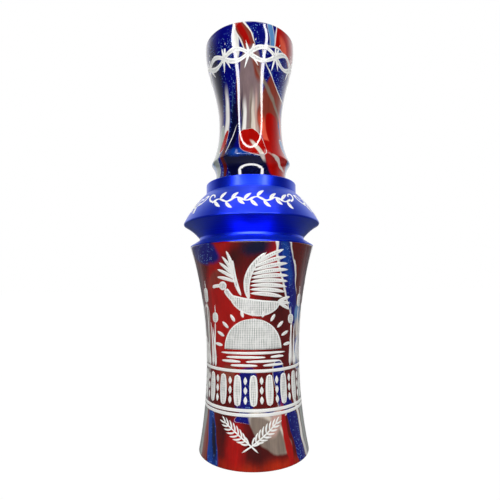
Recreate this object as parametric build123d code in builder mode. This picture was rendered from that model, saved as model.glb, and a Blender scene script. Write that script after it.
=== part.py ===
# A double-reed duck call: turned resin barrel and stopper, aluminium band, and a removable
# reed assembly. Millimetres, +Z up the call's axis, origin at the centre of the mouth rim,
# which it stands on. The reeds lie on the -Y side of the tone board.
from build123d import *

import os

# ---- barrel ----
barrel_length = 59.4  # mouth rim to the shoulder that carries the band
mouth_radius = 16.2
waist_radius = 13.9
waist_height = 25.0
shoulder_radius = 19.05
shoulder_slope = 0.33  # radius gained per millimetre where the flank meets the shoulder
bore_radius = 7.94
mouth_dish_depth = 7.0
mouth_rim_width = 1.7  # land that the lips and a table meet
mouth_outer_fillet = 0.25
mouth_inner_fillet = 0.5
shoulder_fillet = 0.25
spigot_wall = 4.26  # barrel wall inside the band
spigot_chamfer = 0.5

# ---- band ----
glue_gap = 0.03
band_foot_inset = 0.12  # the band's foot stands this far inside the barrel's shoulder
band_foot_height = 0.3
groove_depth = 2.75  # lanyard groove, from the foot's radius
groove_rise = 2.1  # foot to the start of the groove floor
groove_floor = 0.7
ridge_height = 6.9  # above the foot
ridge_radius = 21.15
ridge_fillet = 0.45
cove_sag = 0.35  # how far the cove sinks behind its chord
crown_height = 9.6  # ridge to the foot of the lip
crown_swell = 0.56  # how far the crown swells beyond its chord
lip_height = 3.1
lip_wall = 1.85
lip_fillet = 0.25
top_flange = 1.5  # band metal over the end of the spigot

# ---- stopper ----
seat_gap = 0.05
running_clearance = 0.07
tenon_length = 16.5
tenon_chamfer = 0.4
stopper_length = 46.0  # seat to exhaust rim
neck_step = 3.1  # neck radius beyond the bore
neck_height = 2.6
ring_height = 6.6  # the turned ring above the seat
ring_radius = 12.5
ring_fillet = 0.55
throat_height = 19.6
throat_radius = 10.02
flare_radius = 14.36
flare_land = 2.0  # straight stretch below the exhaust rim
flare_fillet = 0.6
bell_depth = 17.0
bell_lip_wall = 1.7
bell_fillet = 0.42

# ---- O-rings ----
oring_section = 1.5
oring_squeeze_gap = 0.04  # drawn clear of the bore and of its groove
oring_slack = 0.2  # groove width beyond the ring's section
oring_first = 3.6  # below the seat
oring_pitch = 8.0
oring_wall = 1.15  # resin left between groove and stopper bore
small_oring_section = 1.0
small_oring_wall = 0.7  # tone board left between its groove and its air hole

# ---- tone board ----
plug_length = 13.5
plug_chamfer = 0.3
plug_oring_height = 7.0  # above the head
push_clearance = 0.03
head_length = 12.0
head_clearance = 0.3
tongue_length = 38.5
tongue_tip_width = 12.0
tongue_corner = 2.4
reed_plane = 0.5  # flat of the board, this far from the axis on the reed side
flat_length = 6.5  # where the reed lies flush before the board falls away
tip_drop = 1.25
trough_radius = 2.4
trough_centre = 1.4
trough_stop = 8.0  # board left uncut at the tip
notch_height = 4.6
notch_back_wall = 1.0

# ---- reeds and wedge ----
reed_width = 10.0
reed_tip_corner = 1.6
reed_gap = 0.02
reed_heel_gap = 0.4
long_reed_thickness = 0.36
short_reed_thickness = 0.26
reed_spacing = 0.12  # held open by the dimple
long_reed_setback = 1.0  # from the board's tip
short_reed_setback = 4.6
dimple_radius = 0.8
dimple_setback = 7.0  # from the short reed's tip
wedge_clearance = 0.05
wedge_side_clearance = 0.12
wedge_nose = 2.2  # length that stands out of the notch
wedge_nose_fall = 1.6
wedge_corner = 0.5

# ---- how full the turned curves are: where a control point lies, as a share of its curve ----
mouth_fullness = 0.48
flank_fullness = 1 / 3
dish_fullness_bore = 0.65
dish_fullness_rim = 0.3
ring_fall_in = 0.75
ring_fall_fullness = 0.32
throat_fullness = 0.4
flare_fullness = 0.25
bell_curl_in = 0.86
bell_curl_fullness = 0.4

pick_tolerance = 0.01  # for choosing edges by their height

# ---- worked out from the above ----
spigot_radius = bore_radius + spigot_wall
band_bore = spigot_radius + glue_gap
band_foot_radius = shoulder_radius - band_foot_inset
groove_radius = band_foot_radius - groove_depth
groove_level = barrel_length + groove_rise
lip_radius = band_bore + lip_wall
ridge_level = barrel_length + ridge_height
lip_level = ridge_level + crown_height
band_top = lip_level + lip_height
flange_level = band_top - top_flange
spigot_top = flange_level - glue_gap
seat = band_top + seat_gap

tenon_radius = bore_radius - running_clearance
oring_outer = bore_radius - oring_squeeze_gap
oring_centre = oring_outer - oring_section / 2
oring_groove = oring_centre - oring_section / 2 - oring_squeeze_gap
stopper_bore = oring_groove - oring_wall
neck_radius = bore_radius + neck_step
neck_level = seat + neck_height
ring_level = seat + ring_height
throat_level = seat + throat_height
exhaust_rim = seat + stopper_length
tenon_end = seat - tenon_length
upper_oring_level = seat - oring_first
lower_oring_level = upper_oring_level - oring_pitch

plug_radius = stopper_bore - push_clearance
small_oring_centre = stopper_bore - oring_squeeze_gap - small_oring_section / 2
small_oring_groove = small_oring_centre - small_oring_section / 2 - oring_squeeze_gap
air_hole_radius = small_oring_groove - small_oring_wall
small_oring_level = tenon_end + plug_oring_height

head_radius = bore_radius - head_clearance
head_end = tenon_end - head_length
tongue_tip = head_end - tongue_length
fall_start = head_end - flat_length
trough_foot = tongue_tip + trough_stop
notch_end = tenon_end - notch_back_wall
notch_half_width = reed_width / 2 + wedge_side_clearance
reed_heel = notch_end - reed_heel_gap
long_reed_tip = tongue_tip + long_reed_setback
short_reed_tip = tongue_tip + short_reed_setback
long_reed_face = -reed_plane - reed_gap
long_reed_back = long_reed_face - long_reed_thickness
short_reed_face = long_reed_back - reed_spacing
short_reed_back = short_reed_face - short_reed_thickness
dimple_level = short_reed_tip + dimple_setback
dimple_height = reed_spacing - reed_gap
wedge_face = short_reed_back - wedge_clearance
wedge_back = -reed_plane - notch_height + wedge_clearance
nose_end = head_end - wedge_nose


def circles_at(part, level):
    """The circular edges that lie at one height."""
    circles = part.edges().filter_by(GeomType.CIRCLE)
    return circles.filter_by_position(Axis.Z, level - pick_tolerance, level + pick_tolerance)


# ---- barrel: one turned shell with a dished mouth and a spigot for the band ----
with BuildPart() as barrel:
    with BuildSketch(Plane.XZ) as barrel_half:
        with BuildLine():
            rim_inner = mouth_radius - mouth_rim_width
            flank_reach = (barrel_length - waist_height) * flank_fullness
            Bezier(
                (mouth_radius, 0),
                (waist_radius, waist_height * mouth_fullness),
                (waist_radius, waist_height),
            )
            Bezier(
                (waist_radius, waist_height),
                (waist_radius, waist_height + flank_reach),
                (shoulder_radius - shoulder_slope * flank_reach, barrel_length - flank_reach),
                (shoulder_radius, barrel_length),
            )
            Polyline(
                (shoulder_radius, barrel_length),
                (spigot_radius, barrel_length),
                (spigot_radius, spigot_top),
                (bore_radius, spigot_top),
                (bore_radius, mouth_dish_depth),
            )
            # the dish leaves the bore straight and opens to meet the rim
            Bezier(
                (bore_radius, mouth_dish_depth),
                (bore_radius, mouth_dish_depth * (1 - dish_fullness_bore)),
                (rim_inner, mouth_dish_depth * dish_fullness_rim),
                (rim_inner, 0),
            )
            Line((rim_inner, 0), (mouth_radius, 0))
        make_face()
    revolve(axis=Axis.Z)
    mouth_edges = circles_at(barrel, 0).sort_by(SortBy.RADIUS)
    fillet(mouth_edges[-1], mouth_outer_fillet)
    fillet(mouth_edges[0], mouth_inner_fillet)
    fillet(circles_at(barrel, barrel_length).sort_by(SortBy.RADIUS)[-1], shoulder_fillet)
    chamfer(circles_at(barrel, spigot_top).sort_by(SortBy.RADIUS)[-1], spigot_chamfer)

# ---- band: a spool that caps the spigot and carries the lanyard groove ----
with BuildPart() as band:
    with BuildSketch(Plane.XZ) as band_half:
        with BuildLine():
            Polyline(
                (band_bore, barrel_length),
                (band_foot_radius, barrel_length),
                (band_foot_radius, barrel_length + band_foot_height),
                (groove_radius, groove_level),
                (groove_radius, groove_level + groove_floor),
            )
            SagittaArc(
                (groove_radius, groove_level + groove_floor),
                (ridge_radius, ridge_level),
                cove_sag,
            )
            SagittaArc((ridge_radius, ridge_level), (lip_radius, lip_level), -crown_swell)
            Polyline(
                (lip_radius, lip_level),
                (lip_radius, band_top),
                (bore_radius, band_top),
                (bore_radius, flange_level),
                (band_bore, flange_level),
                (band_bore, barrel_length),
            )
        make_face()
    revolve(axis=Axis.Z)
    fillet(circles_at(band, ridge_level), ridge_fillet)
    fillet(circles_at(band, groove_level), lip_fillet)
    fillet(circles_at(band, band_top).sort_by(SortBy.RADIUS)[-1], lip_fillet)

# ---- stopper: the flared exhaust piece, whose tenon plugs into the barrel ----
with BuildPart() as stopper:
    with BuildSketch(Plane.XZ) as stopper_half:
        with BuildLine():
            land_start = exhaust_rim - flare_land
            bell_radius = flare_radius - bell_lip_wall
            bell_foot = exhaust_rim - bell_depth
            fall = throat_level - ring_level
            climb = land_start - throat_level
            Polyline(
                (bell_radius, exhaust_rim),
                (flare_radius, exhaust_rim),
                (flare_radius, land_start),
            )
            Bezier(
                (flare_radius, land_start),
                (flare_radius, land_start - climb * flare_fullness),
                (throat_radius, throat_level + climb * throat_fullness),
                (throat_radius, throat_level),
            )
            Bezier(
                (throat_radius, throat_level),
                (throat_radius, throat_level - fall * throat_fullness),
                (
                    ring_radius - (ring_radius - throat_radius) * ring_fall_in,
                    ring_level + fall * ring_fall_fullness,
                ),
                (ring_radius, ring_level),
            )
            Bezier(
                (ring_radius, ring_level),
                (neck_radius, (neck_level + ring_level) / 2),
                (neck_radius, neck_level),
            )
            Polyline(
                (neck_radius, neck_level),
                (neck_radius, seat),
                (tenon_radius, seat),
                (tenon_radius, tenon_end),
                (stopper_bore, tenon_end),
                (stopper_bore, bell_foot),
            )
            # the bell leaves the bore straight and curls out to meet the rim
            Bezier(
                (stopper_bore, bell_foot),
                (stopper_bore, bell_foot + bell_depth * bell_curl_fullness),
                (bell_radius * bell_curl_in, exhaust_rim - bell_depth * bell_curl_fullness),
                (bell_radius, exhaust_rim),
            )
        make_face()
    revolve(axis=Axis.Z)
    exhaust_edges = circles_at(stopper, exhaust_rim).sort_by(SortBy.RADIUS)
    fillet(exhaust_edges[-1], flare_fillet)
    fillet(exhaust_edges[0], bell_fillet)
    fillet(circles_at(stopper, ring_level), ring_fillet)
    chamfer(circles_at(stopper, tenon_end).sort_by(SortBy.RADIUS)[-1], tenon_chamfer)
    for oring_level in (upper_oring_level, lower_oring_level):
        with BuildSketch(Plane.XZ) as oring_seat:
            with Locations(((oring_groove + bore_radius) / 2, oring_level)):
                Rectangle(bore_radius - oring_groove, oring_section + oring_slack)
        revolve(axis=Axis.Z, mode=Mode.SUBTRACT)


# ---- O-rings: two on the stopper's tenon, a smaller one on the tone board's plug ----
def make_oring(section, centre_radius, level):
    """A rubber ring of round section lying around the call's axis."""
    with BuildPart() as oring:
        with BuildSketch(Plane.XZ):
            with Locations((centre_radius, level)):
                Circle(section / 2)
        revolve(axis=Axis.Z)
    return oring


upper_oring = make_oring(oring_section, oring_centre, upper_oring_level)
lower_oring = make_oring(oring_section, oring_centre, lower_oring_level)
tone_board_oring = make_oring(small_oring_section, small_oring_centre, small_oring_level)

# ---- tongue of the tone board: what the reeds beat on ----
with BuildPart() as tongue:
    # from the side, falling away from the reeds towards its tip
    with BuildSketch(Plane.YZ):
        with BuildLine():
            tip_face = tip_drop - reed_plane
            Line((-reed_plane, head_end), (-reed_plane, fall_start))
            TangentArc((-reed_plane, fall_start), (tip_face, tongue_tip), tangent=(0, -1))
            Polyline(
                (tip_face, tongue_tip),
                (head_radius, tongue_tip),
                (head_radius, head_end),
                (-reed_plane, head_end),
            )
        make_face()
    extrude(amount=head_radius, both=True)
    # round back
    with BuildSketch(Plane.XY.offset(tongue_tip)):
        Circle(head_radius)
    extrude(amount=tongue_length, mode=Mode.INTERSECT)
    # from the front, narrowing to the tip
    with BuildSketch(Plane.XZ):
        with BuildLine():
            Polyline(
                (-tongue_tip_width / 2, tongue_tip),
                (tongue_tip_width / 2, tongue_tip),
                (head_radius, head_end),
                (-head_radius, head_end),
                close=True,
            )
        make_face()
        fillet(vertices().group_by(Axis.Y)[0], tongue_corner)
    extrude(amount=head_radius, both=True, mode=Mode.INTERSECT)

# ---- tone board: the tongue, the head that houses the wedge, and a plug ----
with BuildPart() as tone_board:
    add(tongue.part)
    with BuildSketch(Plane.XY.offset(head_end)):
        Circle(head_radius)
    extrude(amount=head_length)
    with BuildSketch(Plane.XY.offset(tenon_end)):
        Circle(plug_radius)
    extrude(amount=plug_length)
    chamfer(circles_at(tone_board, tenon_end + plug_length), plug_chamfer)
    # air trough under the reeds, then the round air hole through the plug
    with BuildSketch(Plane.XY.offset(trough_foot)):
        with Locations((0, trough_centre)):
            Circle(trough_radius)
        with Locations((0, (trough_centre - reed_plane) / 2)):
            Rectangle(2 * trough_radius, trough_centre + reed_plane)
    extrude(amount=tenon_end + trough_radius - trough_foot, mode=Mode.SUBTRACT)
    with BuildSketch(Plane.XY.offset(tenon_end)):
        Circle(air_hole_radius)
    extrude(amount=plug_length, mode=Mode.SUBTRACT)
    # notch for the reeds' heels and the wedge
    with BuildSketch(Plane.XY.offset(head_end)):
        with Locations((0, -reed_plane - notch_height / 2)):
            Rectangle(2 * notch_half_width, notch_height)
    extrude(amount=notch_end - head_end, mode=Mode.SUBTRACT)
    # seat of the small O-ring
    with BuildSketch(Plane.XZ):
        with Locations(((small_oring_groove + stopper_bore) / 2, small_oring_level)):
            Rectangle(stopper_bore - small_oring_groove, small_oring_section + oring_slack)
    revolve(axis=Axis.Z, mode=Mode.SUBTRACT)


# ---- reeds: two strips of film whose heels the wedge clamps ----
def make_reed(tip, face, thickness):
    """A flat strip from its tip up to the heel, with its near face at the given Y."""
    with BuildPart() as strip:
        with BuildSketch(Plane.XZ.offset(-face)):
            with Locations((0, (tip + reed_heel) / 2)):
                Rectangle(reed_width, reed_heel - tip)
            fillet(vertices().group_by(Axis.Y)[0], reed_tip_corner)
        extrude(amount=thickness)
    return strip


long_reed = make_reed(long_reed_tip, long_reed_face, long_reed_thickness)
short_strip = make_reed(short_reed_tip, short_reed_face, short_reed_thickness)

# the dimple is pressed into the short reed so that it stands off the long one
with BuildPart() as short_reed:
    add(short_strip.part)
    with BuildSketch(Plane.XY.offset(dimple_level)):
        with Locations((0, short_reed_face)):
            Ellipse(dimple_radius, dimple_height)
        with Locations((0, short_reed_face - dimple_height)):
            Rectangle(2 * dimple_radius, 2 * dimple_height, mode=Mode.SUBTRACT)
    extrude(amount=dimple_radius, both=True)

# ---- wedge: a cork block with a sloped nose, clamping both reeds ----
with BuildPart() as wedge:
    with BuildSketch(Plane.YZ):
        with BuildLine():
            Polyline(
                (wedge_face, reed_heel),
                (wedge_face, nose_end),
                (wedge_back + wedge_nose_fall, nose_end),
                (wedge_back, head_end),
                (wedge_back, reed_heel),
                close=True,
            )
        make_face()
    extrude(amount=reed_width / 2, both=True)
    nose_edges = wedge.edges().filter_by(Axis.Y).group_by(Axis.Z)[0]
    fillet(nose_edges, wedge_corner)

pieces = {
    "barrel": barrel,
    "band": band,
    "stopper": stopper,
    "upper_oring": upper_oring,
    "lower_oring": lower_oring,
    "tone_board": tone_board,
    "tone_board_oring": tone_board_oring,
    "long_reed": long_reed,
    "short_reed": short_reed,
    "wedge": wedge,
}
os.makedirs("parts", exist_ok=True)
for name, piece in pieces.items():
    piece.part.label = name
    export_step(piece.part, f"parts/{name}.step")
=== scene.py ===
from math import comb
import bpy
import numpy as np
from mathutils import Euler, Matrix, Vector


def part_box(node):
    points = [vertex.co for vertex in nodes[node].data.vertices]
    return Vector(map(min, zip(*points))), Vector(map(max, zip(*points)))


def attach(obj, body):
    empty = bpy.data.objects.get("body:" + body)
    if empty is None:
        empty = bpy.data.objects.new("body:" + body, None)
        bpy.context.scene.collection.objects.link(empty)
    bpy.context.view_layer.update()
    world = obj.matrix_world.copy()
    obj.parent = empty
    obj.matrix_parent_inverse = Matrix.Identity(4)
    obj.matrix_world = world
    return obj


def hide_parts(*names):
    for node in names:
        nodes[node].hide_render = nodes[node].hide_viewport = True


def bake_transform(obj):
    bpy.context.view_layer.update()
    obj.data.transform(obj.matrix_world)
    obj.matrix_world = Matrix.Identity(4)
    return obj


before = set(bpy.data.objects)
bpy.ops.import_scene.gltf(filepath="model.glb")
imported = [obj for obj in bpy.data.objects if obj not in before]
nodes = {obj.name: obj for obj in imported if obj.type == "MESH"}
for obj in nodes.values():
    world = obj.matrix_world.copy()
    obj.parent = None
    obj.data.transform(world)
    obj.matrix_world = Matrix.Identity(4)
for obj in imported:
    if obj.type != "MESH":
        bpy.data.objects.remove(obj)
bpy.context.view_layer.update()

mm = 0.001
print("frame loaded:", len(nodes), "nodes")


# helpers for shader nodes
def tint(red, green, blue):
    # screen values from 0 to 255 made linear, with alpha
    shade = np.array([red, green, blue]) / 255
    linear = np.where(shade <= 0.04045, shade / 12.92, ((shade + 0.055) / 1.055) ** 2.4)
    return (*linear.tolist(), 1.0)


def feed(tree, socket, value):
    if isinstance(value, bpy.types.NodeSocket):
        tree.links.new(value, socket)
    else:
        socket.default_value = value


def addNode(tree, kind, inputs=None, **settings):
    made = tree.nodes.new("ShaderNode" + kind)
    for key, value in settings.items():
        setattr(made, key, value)
    for key, value in (inputs or {}).items():
        feed(tree, made.inputs[key], value)
    return made


def calc(tree, operation, *values, clamp=False):
    made = addNode(tree, "Math", operation=operation, use_clamp=clamp)
    for index, value in enumerate(values):
        feed(tree, made.inputs[index], value)
    return made.outputs[0]


def ramp(tree, value, low, high, outLow=0.0, outHigh=1.0):
    # an eased step from low to high
    made = addNode(tree, "MapRange", interpolation_type="SMOOTHSTEP")
    for key, part in zip(("Value", "From Min", "From Max", "To Min", "To Max"),
                         (value, low, high, outLow, outHigh)):
        feed(tree, made.inputs[key], part)
    return made.outputs["Result"]


def mixColour(tree, factor, under, over, mode="MIX"):
    made = addNode(tree, "Mix", data_type="RGBA", blend_type=mode)
    for index, value in ((0, factor), (6, under), (7, over)):
        feed(tree, made.inputs[index], value)
    return made.outputs[2]


def stretched(tree, place, scale):
    return addNode(tree, "Mapping", {"Vector": place, "Scale": scale}).outputs[0]


def noise(tree, place, scale, detail=2.0, rough=0.5):
    return addNode(tree, "TexNoise", {"Vector": place, "Scale": scale, "Detail": detail, "Roughness": rough})


def newGroup(name, inputs, outputs):
    group = bpy.data.node_groups.new(name, "ShaderNodeTree")
    for label, kind in inputs.items():
        group.interface.new_socket(label, in_out="INPUT", socket_type="NodeSocket" + kind)
    for label, kind in outputs.items():
        group.interface.new_socket(label, in_out="OUTPUT", socket_type="NodeSocket" + kind)
    return group, group.nodes.new("NodeGroupInput").outputs, group.nodes.new("NodeGroupOutput").inputs


def useGroup(tree, group, **inputs):
    made = tree.nodes.new("ShaderNodeGroup")
    made.node_tree = group
    for key, value in inputs.items():
        feed(tree, made.inputs[key], value)
    return made.outputs


def emptyTree(owner, kind="OutputMaterial"):
    # the node tree of a material or world with nothing but its output, and that output's first socket
    owner.use_nodes = True
    tree = owner.node_tree
    tree.nodes.clear()
    return tree, addNode(tree, kind).inputs[0]


def newMaterial(name, **constants):
    # a Principled shader with its constant sockets set, and the place on the object in millimetres
    made = bpy.data.materials.new(name)
    tree, surface = emptyTree(made)
    shader = addNode(tree, "BsdfPrincipled")
    for key, value in constants.items():
        shader.inputs[key.replace("_", " ")].default_value = value
    tree.links.new(shader.outputs[0], surface)
    place = stretched(tree, addNode(tree, "TexCoord").outputs["Object"], (1 / mm, 1 / mm, 1 / mm))
    return made, tree, shader, place


def seenEdgeOn(tree):
    # 0 where a surface faces the eye, 1 where it turns away
    return addNode(tree, "LayerWeight", {"Blend": 0.5}).outputs["Facing"]


def bumped(tree, shader, height, strength, distance):
    made = addNode(tree, "Bump", {"Height": height, "Strength": strength, "Distance": distance})
    tree.links.new(made.outputs[0], shader.inputs["Normal"])


def cover(piece, material):
    if not piece.data.materials:
        piece.data.materials.append(material)
    for slot in piece.material_slots:
        slot.material = material


# effects that several materials share
def makeRoundPlace():
    # angle round the axis in degrees, 0 at the front and growing to the right, and height in millimetres
    group, given, out = newGroup("roundPlace", {"Place": "Vector"}, {"Arc": "Float", "Height": "Float"})
    axes = addNode(group, "SeparateXYZ", {0: given["Place"]}).outputs
    towards = calc(group, "MULTIPLY", axes[1], -1.0)
    feed(group, out["Arc"], calc(group, "DEGREES", calc(group, "ARCTAN2", axes[0], towards)))
    feed(group, out["Height"], axes[2])
    return group


def makeResinFlow(roundPlace):
    # the round place pushed about by slow noise, as poured resin wanders;
    # the back half is the front turned over about the middle height, so that no view repeats another
    group, given, out = newGroup(
        "resinFlow",
        {"Place": "Vector", "Wander": "Float", "Middle": "Float"},
        {"Arc": "Float", "Height": "Float", "Round": "Float", "Fade": "Float"},
    )
    riseShare = 0.22  # millimetres of rise for each degree of wander
    arc, height = useGroup(group, roundPlace, Place=given["Place"])[:]
    slow = noise(group, stretched(group, given["Place"], (1, 1, 0.42)), 0.17, 2.5, 0.55).outputs["Color"]
    push = addNode(group, "SeparateColor", {0: slow}).outputs
    side = calc(group, "MULTIPLY", calc(group, "SUBTRACT", push[0], 0.5), given["Wander"])
    rise = calc(group, "MULTIPLY", calc(group, "SUBTRACT", push[1], 0.5), given["Wander"])
    frontArc = calc(group, "ADD", arc, side)
    frontHeight = calc(group, "MULTIPLY_ADD", rise, riseShare, height)
    isBack = calc(group, "GREATER_THAN", calc(group, "ABSOLUTE", arc), 90.0)
    opposite = calc(group, "WRAP", calc(group, "ADD", frontArc, 180.0), 180.0, -180.0)
    backArc = calc(group, "MULTIPLY", opposite, -1.0)
    backHeight = calc(group, "SUBTRACT", calc(group, "MULTIPLY", given["Middle"], 2.0), frontHeight)
    for label, front, back in (("Arc", frontArc, backArc), ("Height", frontHeight, backHeight)):
        choice = addNode(group, "Mix", {0: isBack, 2: front, 3: back})
        feed(group, out[label], choice.outputs[0])
    feed(group, out["Round"], frontArc)
    feed(group, out["Fade"], ramp(group, push[2], 0.34, 0.6))
    return group


def makeResinPatch():
    # one poured patch of colour: a leaning, rounded oval with a pale vein along its edge
    group, given, out = newGroup(
        "resinPatch",
        {"Under": "Color", "Patch": "Color", "Vein": "Color", "Arc": "Float", "Height": "Float",
         "Fade": "Float", "At Arc": "Float", "At Height": "Float", "Half Arc": "Float",
         "Half Height": "Float", "Lean": "Float", "Vein Width": "Float", "Soft": "Float"},
        {"Colour": "Color"},
    )
    above = calc(group, "SUBTRACT", given["Height"], given["At Height"])
    aside = calc(group, "SUBTRACT", given["Arc"], given["At Arc"])
    straight = calc(group, "SUBTRACT", aside, calc(group, "MULTIPLY", above, given["Lean"]))
    squareness = 2.6  # 2 is an oval, more is squarer
    leastVein = 0.05
    parts = []
    for offset, half in ((straight, given["Half Arc"]), (above, given["Half Height"])):
        share = calc(group, "ABSOLUTE", calc(group, "DIVIDE", offset, half))
        parts.append(calc(group, "POWER", share, squareness))
    reach = calc(group, "POWER", calc(group, "ADD", *parts), 1 / squareness)
    inner = calc(group, "SUBTRACT", 1.0, given["Soft"])
    outer = calc(group, "ADD", 1.0, given["Soft"])
    mask = ramp(group, reach, inner, outer, 1.0, 0.0)
    offEdge = calc(group, "ABSOLUTE", calc(group, "SUBTRACT", reach, 1.0))
    offEdge = calc(group, "MULTIPLY", offEdge, given["Half Arc"])
    width = calc(group, "MULTIPLY", given["Vein Width"], given["Fade"])
    core = calc(group, "MULTIPLY", width, 0.4)
    vein = ramp(group, offEdge, core, calc(group, "ADD", width, 0.02), 1.0, 0.0)
    vein = calc(group, "MULTIPLY", vein, calc(group, "GREATER_THAN", width, leastVein))
    laid = mixColour(group, mask, given["Under"], given["Patch"])
    feed(group, out["Colour"], mixColour(group, vein, laid, given["Vein"]))
    return group


def makePearl():
    # scattered pearl flakes: small cells, a chosen share of them lit
    inputs = {"Place": "Vector", "Scale": "Float", "Share": "Float"}
    group, given, out = newGroup("pearlFlakes", inputs, {"Mask": "Float"})
    cells = addNode(group, "TexVoronoi", {"Vector": given["Place"], "Scale": given["Scale"]})
    lot = addNode(group, "SeparateColor", {0: cells.outputs["Color"]}).outputs[0]
    lit = calc(group, "GREATER_THAN", lot, calc(group, "SUBTRACT", 1.0, given["Share"]))
    small = ramp(group, cells.outputs["Distance"], 0.25, 0.55, 1.0, 0.0)
    feed(group, out["Mask"], calc(group, "MULTIPLY", lit, small))
    return group


def makeStreaks():
    # long streaks up the piece, about 1 on average
    group, given, out = newGroup("castStreaks", {"Place": "Vector", "Depth": "Float"}, {"Shade": "Float"})
    broad = noise(group, stretched(group, given["Place"], (1, 1, 0.1)), 0.42, 3.0, 0.6).outputs[0]
    fine = noise(group, stretched(group, given["Place"], (1, 1, 0.07)), 1.7, 3.0, 0.65).outputs[0]
    both = calc(group, "ADD", calc(group, "MULTIPLY", broad, 1.3), calc(group, "MULTIPLY", fine, 0.7))
    swing = calc(group, "SUBTRACT", both, 1.0)
    feed(group, out["Shade"], calc(group, "MULTIPLY_ADD", swing, given["Depth"], 1.0))
    return group


def makeHandling():
    # faint smears and fine scratches left by hands and pockets
    group, given, out = newGroup("handling", {"Place": "Vector"}, {"Smear": "Float", "Scratch": "Float"})
    smear = noise(group, given["Place"], 0.35, 4.0, 0.6).outputs[0]
    slant, stretch = (0.5, 0.35, 0.2), (0.3, 6.0, 6.0)
    slanted = addNode(group, "Mapping", {"Vector": given["Place"], "Rotation": slant, "Scale": stretch})
    lines = noise(group, slanted.outputs[0], 1.0, 2.0, 0.7).outputs[0]
    feed(group, out["Smear"], ramp(group, smear, 0.4, 0.7))
    feed(group, out["Scratch"], ramp(group, lines, 0.66, 0.72))
    return group


def makeTurning():
    # fine rings left by the lathe, even round the axis
    group, given, out = newGroup("turningMarks", {"Place": "Vector", "Pitch": "Float"}, {"Ring": "Float"})
    axes = addNode(group, "SeparateXYZ", {0: given["Place"]}).outputs
    level = calc(group, "DIVIDE", axes[2], given["Pitch"])
    grooves = {"W": level, "Scale": 1.0, "Detail": 3.0, "Roughness": 0.7}
    rings = addNode(group, "TexNoise", grooves, noise_dimensions="1D")
    feed(group, out["Ring"], rings.outputs[0])
    return group


roundPlace = makeRoundPlace()
resinFlow = makeResinFlow(roundPlace)
resinPatch = makeResinPatch()
pearlFlakes = makePearl()
castStreaks = makeStreaks()
handling = makeHandling()
turningMarks = makeTurning()
print("shared effects made")

# resin colours as poured, and the pale tint of the painted edge light
resin = {
    "white": tint(250, 247, 242),
    "cream": tint(226, 214, 200),
    "pearl": tint(120, 165, 230),
    "navy": tint(0, 3, 118),
    "deepNavy": tint(1, 3, 48),
    "blue": tint(0, 62, 160),
    "skyBlue": tint(96, 150, 208),
    "red": tint(176, 6, 1),
    "deepRed": tint(96, 1, 1),
    "oxblood": tint(72, 1, 1),
    "orange": tint(190, 40, 2),
    "salmon": tint(232, 92, 66),
    "brown": tint(140, 60, 46),
    "mauve": tint(138, 116, 118),
    "smoke": tint(142, 126, 114),
    "blush": tint(206, 168, 156),
    "sage": tint(170, 180, 168),
    # painted light: the pale tint laid where the resin is seen edge on, not a poured colour
    "paintedEdgeLight": tint(214, 212, 222),
}


polish = {"skinIor": 1.52, "skinRough": 0.015, "bodyShine": 0.1, "rough": 0.09, "smear": 0.05,
          "scratch": 0.1}
seamLook = {"halfHeight": 400.0, "vein": 2.2, "soft": 0.05}


def layPatch(tree, flow, under, tone, arcFrom, lean, soft, arc, height, halfArc, halfHeight, vein):
    # arc and half arc in degrees, height in millimetres, lean in degrees a millimetre
    return useGroup(
        tree, resinPatch, Under=under, Patch=resin[tone], Vein=resin["white"], Arc=flow[arcFrom],
        Height=flow["Height"], Fade=flow["Fade"], Lean=lean, Soft=soft,
        **{"At Arc": arc, "At Height": height, "Half Arc": halfArc, "Half Height": halfHeight,
           "Vein Width": vein},
    )["Colour"]


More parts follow.
